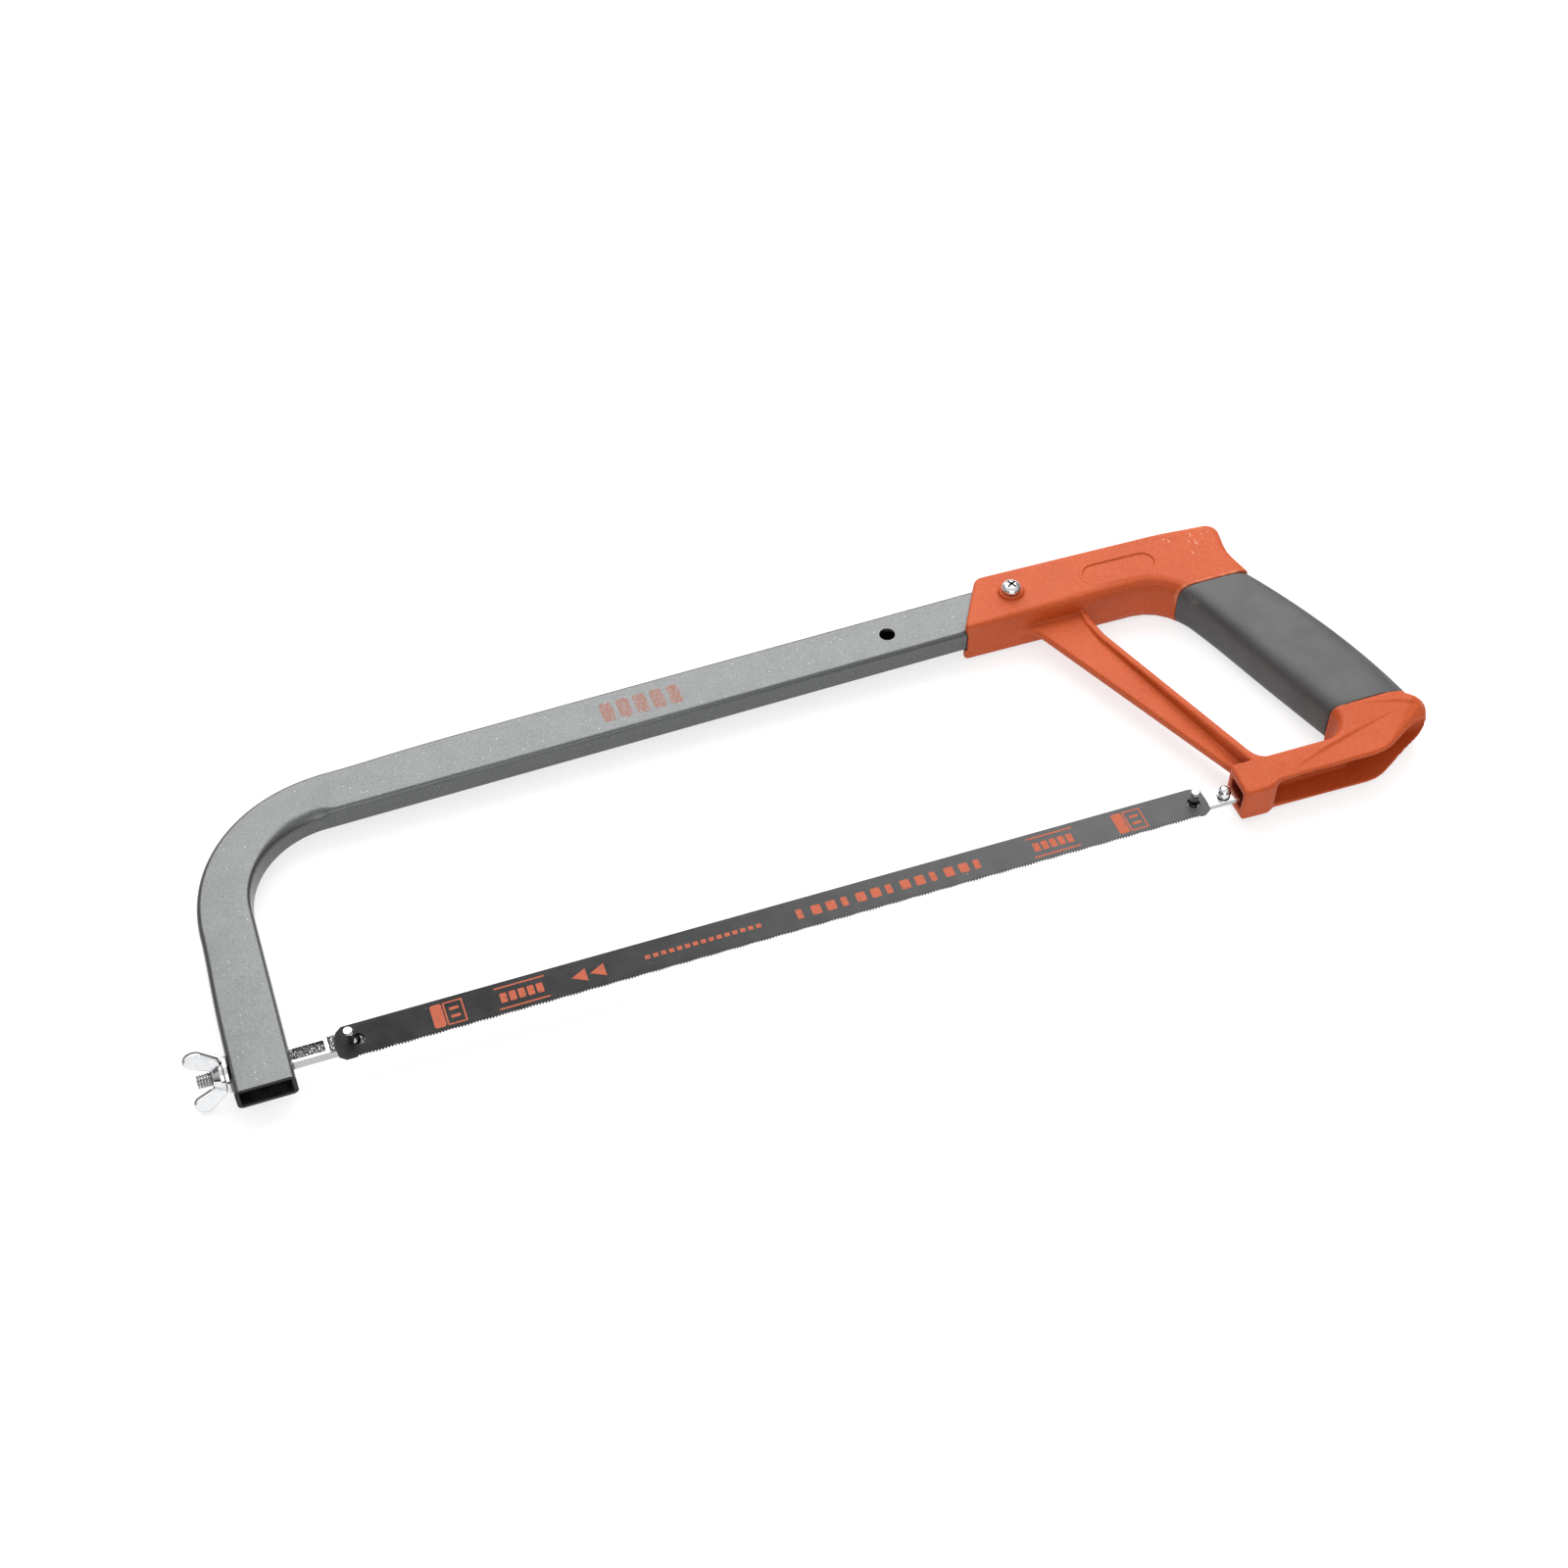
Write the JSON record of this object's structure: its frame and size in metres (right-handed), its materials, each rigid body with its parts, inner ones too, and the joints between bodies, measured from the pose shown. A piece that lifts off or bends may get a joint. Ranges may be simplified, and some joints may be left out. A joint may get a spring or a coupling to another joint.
{
  "type": "hacksaw",
  "caption": "Hacksaw with a bent rectangular tube frame, closed die-cast pistol grip, rubber sleeve and a pin-held blade tensioned by a wing nut.",
  "frame": {"origin": "middle of the underside of the saw lying on its side", "axes": "+X along the blade from the wing nut to the handle; +Y from the blade to the spine; +Z through the thickness"},
  "size_m": [0.454, 0.1312, 0.0245],
  "materials": {
    "grey_fleck_paint": "grey metallic paint with light flecks",
    "orange_powder_coat": "satin orange powder coat",
    "grey_rubber": "smooth matt soft sleeve",
    "bright_zinc": "bright zinc or nickel plate",
    "blade_steel": "dark grey lacquered steel"
  },
  "bodies": {
    "frame": {"frame_tube": "grey_fleck_paint", "handle_casting": "orange_powder_coat", "grip_sleeve": "grey_rubber", "handle_screw": "bright_zinc", "handle_nut": "bright_zinc", "tension_washer": "bright_zinc", "rear_holder_bar": "bright_zinc", "rear_blade_pin": "bright_zinc", "rear_stop_stud": "bright_zinc", "rear_retaining_pin": "bright_zinc"},
    "tensioner": {"draw_bar": "bright_zinc", "front_blade_pin": "bright_zinc"},
    "wing_nut": {"wing_nut": "bright_zinc"},
    "blade": {"saw_blade": "blade_steel"}
  },
  "joints": [
    {"name": "wing_nut_turn", "type": "hinge", "parent": "frame", "child": "wing_nut", "pos_m": [-0.21508, -0.05457, 0.0104], "axis": [-1, 0, 0], "range_deg": [0, 360]},
    {"name": "tension_travel", "type": "slide", "parent": "frame", "child": "tensioner", "axis": [1, 0, 0], "range_m": [0, 0.0008]},
    {"name": "blade_lift", "type": "slide", "parent": "frame", "child": "blade", "axis": [0, 0, 1], "range_m": [0, 0.009]}
  ],
  "couplings": [
    {"joint": "wing_nut_turn", "follows": "tension_travel", "rad_per_m": 7854}
  ]
}
